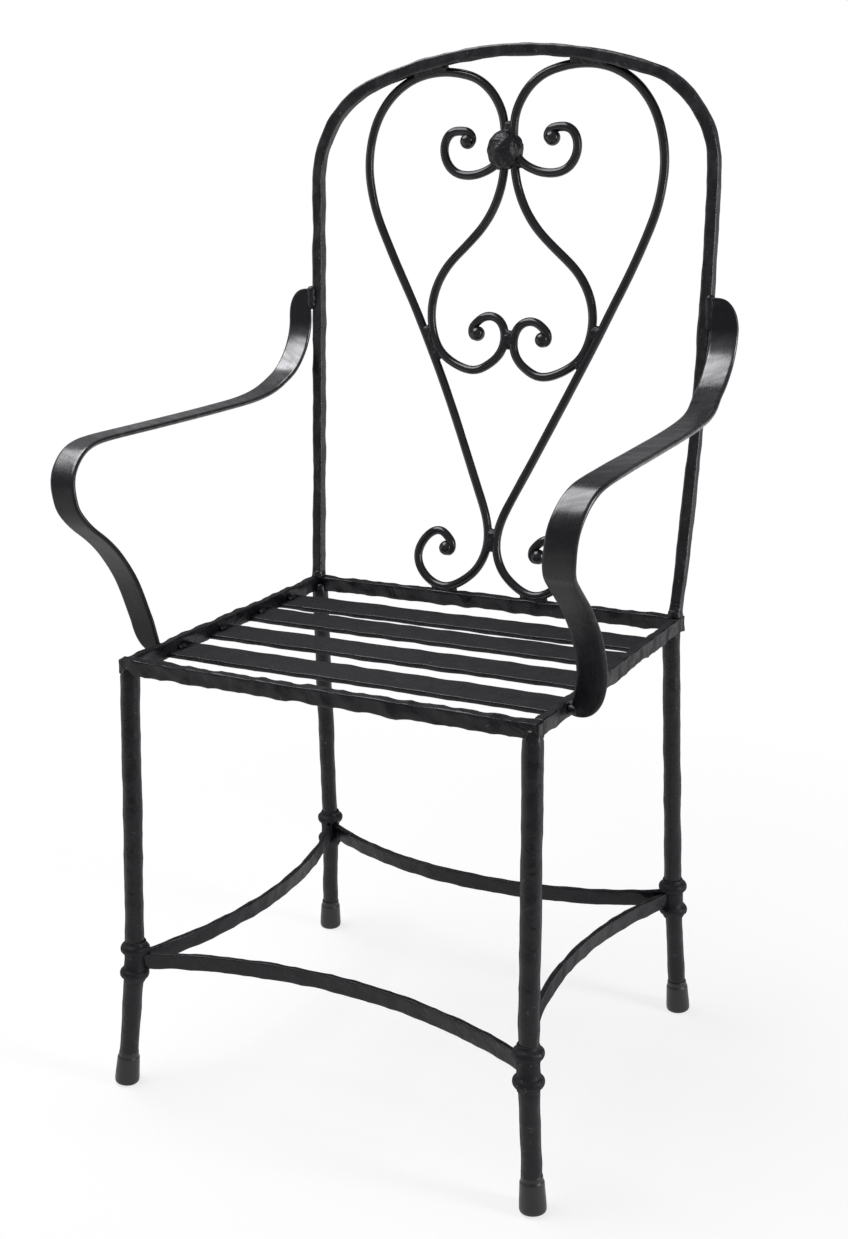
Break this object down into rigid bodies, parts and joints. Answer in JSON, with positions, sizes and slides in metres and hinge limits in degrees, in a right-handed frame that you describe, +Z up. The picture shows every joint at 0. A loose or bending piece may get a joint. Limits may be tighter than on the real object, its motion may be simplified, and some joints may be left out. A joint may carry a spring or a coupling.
{
  "type": "wrought iron armchair",
  "caption": "Black wrought iron garden armchair with a slatted seat, bent strap arms and a hoop back that holds a heart of round-rod scrolls.",
  "frame": {"origin": "on the floor, under the middle of the chair's bounding box", "axes": "+Z up; the chair faces -Y, so its back is towards +Y; +X is to the right of someone who looks at its front"},
  "size_m": [0.5556, 0.4689, 0.9983],
  "materials": {
    "hammered_iron": "satin black paint over hammered iron bar",
    "scroll_rod": "satin black paint over smooth round rod",
    "arm_strap": "semi-gloss black, brushed along the strap",
    "cast_collar": "satin black paint over cast iron",
    "weld_metal": "painted weld, slightly worn",
    "ferrule_rubber": "matte black rubber"
  },
  "bodies": {
    "root": {"front_rail": "hammered_iron", "back_rail": "hammered_iron", "left_rail": "hammered_iron", "right_rail": "hammered_iron", "slat_1": "hammered_iron", "slat_2": "hammered_iron", "slat_3": "hammered_iron", "slat_4": "hammered_iron", "slat_welds": "weld_metal", "leg_front_left": "hammered_iron", "leg_front_right": "hammered_iron", "leg_back_left": "hammered_iron", "leg_back_right": "hammered_iron", "collar_front_left": "cast_collar", "collar_front_right": "cast_collar", "collar_back_left": "cast_collar", "collar_back_right": "cast_collar", "ferrule_front_left": "ferrule_rubber", "ferrule_front_right": "ferrule_rubber", "ferrule_back_left": "ferrule_rubber", "ferrule_back_right": "ferrule_rubber", "stretcher_front": "hammered_iron", "stretcher_back": "hammered_iron", "stretcher_left": "hammered_iron", "stretcher_right": "hammered_iron", "back_hoop": "hammered_iron", "post_welds": "weld_metal", "outer_scroll_left": "scroll_rod", "outer_scroll_right": "scroll_rod", "inner_scroll_left": "scroll_rod", "inner_scroll_right": "scroll_rod", "scroll_welds": "weld_metal", "arm_left": "arm_strap", "arm_right": "arm_strap", "arm_welds": "weld_metal"}
  },
  "joints": []
}
